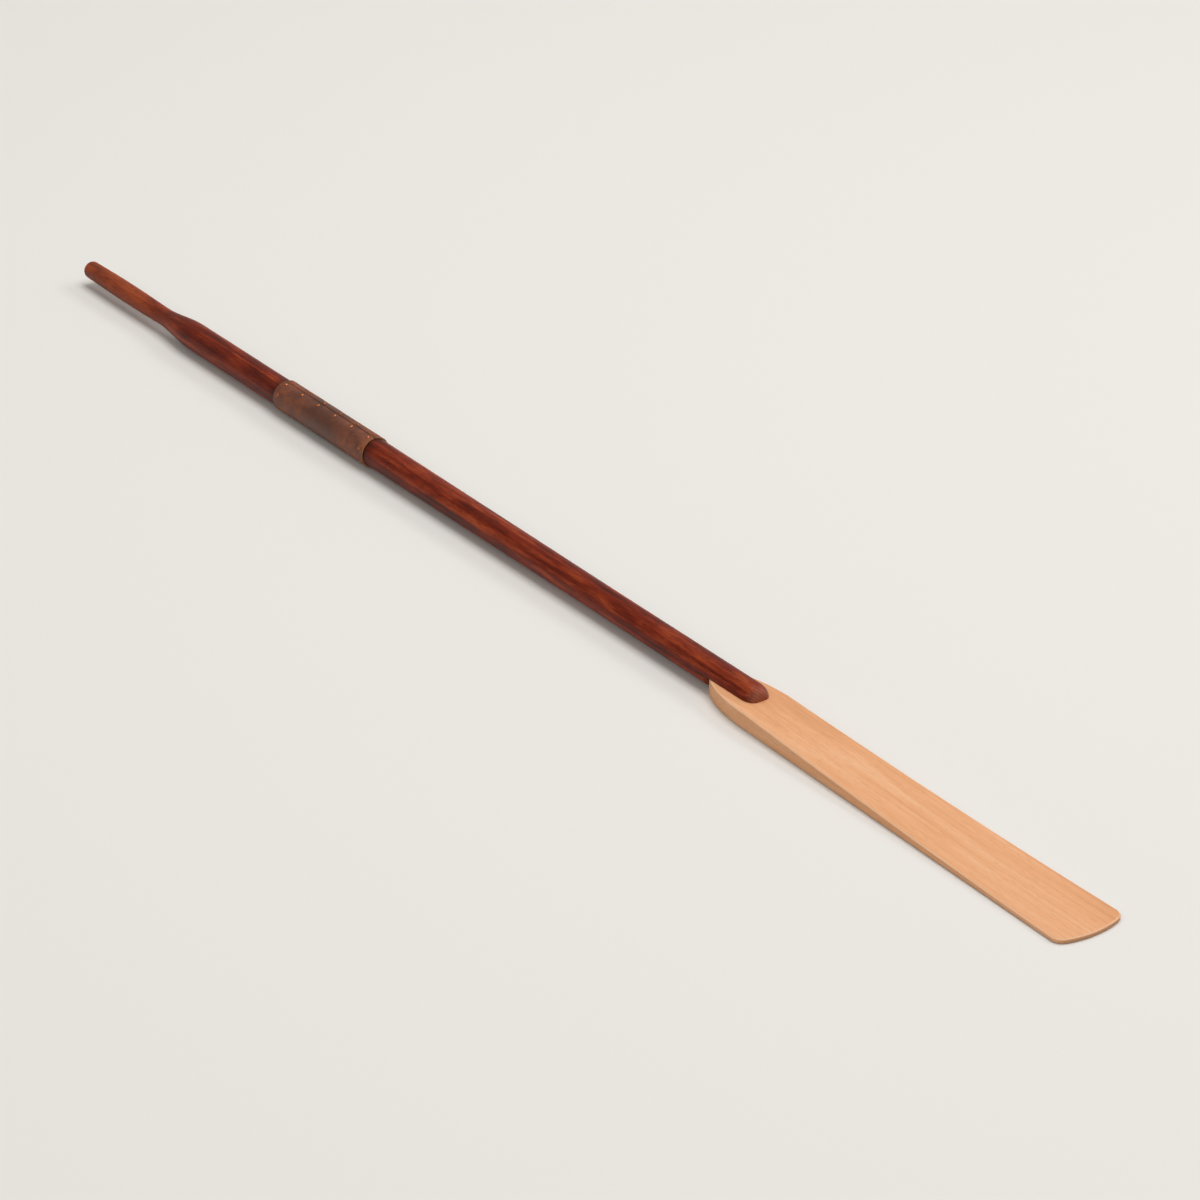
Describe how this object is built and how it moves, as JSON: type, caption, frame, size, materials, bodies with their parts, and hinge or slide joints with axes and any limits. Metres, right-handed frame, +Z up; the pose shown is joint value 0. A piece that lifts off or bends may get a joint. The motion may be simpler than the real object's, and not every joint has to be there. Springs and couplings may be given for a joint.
{
  "type": "rowing oar",
  "caption": "Wooden rowing oar: a round mahogany shaft half-lapped on a long flat beech blade, with a leather sleeve tacked round the loom where it works on the thole.",
  "frame": {"origin": "middle of the oar's length and width, on the plane that it lies on", "axes": "+X along the oar towards the blade's tip, +Y across the blade, +Z up from the flat blade face that it lies on"},
  "size_m": [3, 0.1344, 0.062],
  "materials": {
    "mahogany": "satin varnish",
    "beech": "oiled, matt",
    "dowel_wood": "raw",
    "leather": "greased",
    "copper": "dulled copper"
  },
  "bodies": {
    "root": {"shaft": "mahogany", "blade": "beech", "leather_sleeve": "leather", "lap_peg_1": "dowel_wood", "lap_peg_2": "dowel_wood", "lap_peg_3": "dowel_wood", "copper_tack_01": "copper", "copper_tack_02": "copper", "copper_tack_03": "copper", "copper_tack_04": "copper", "copper_tack_05": "copper", "copper_tack_06": "copper", "copper_tack_07": "copper", "copper_tack_08": "copper", "copper_tack_09": "copper", "copper_tack_10": "copper", "copper_tack_11": "copper", "copper_tack_12": "copper", "copper_tack_13": "copper", "copper_tack_14": "copper", "copper_tack_15": "copper", "copper_tack_16": "copper", "copper_tack_17": "copper", "copper_tack_18": "copper", "copper_tack_19": "copper", "copper_tack_20": "copper"}
  },
  "joints": []
}
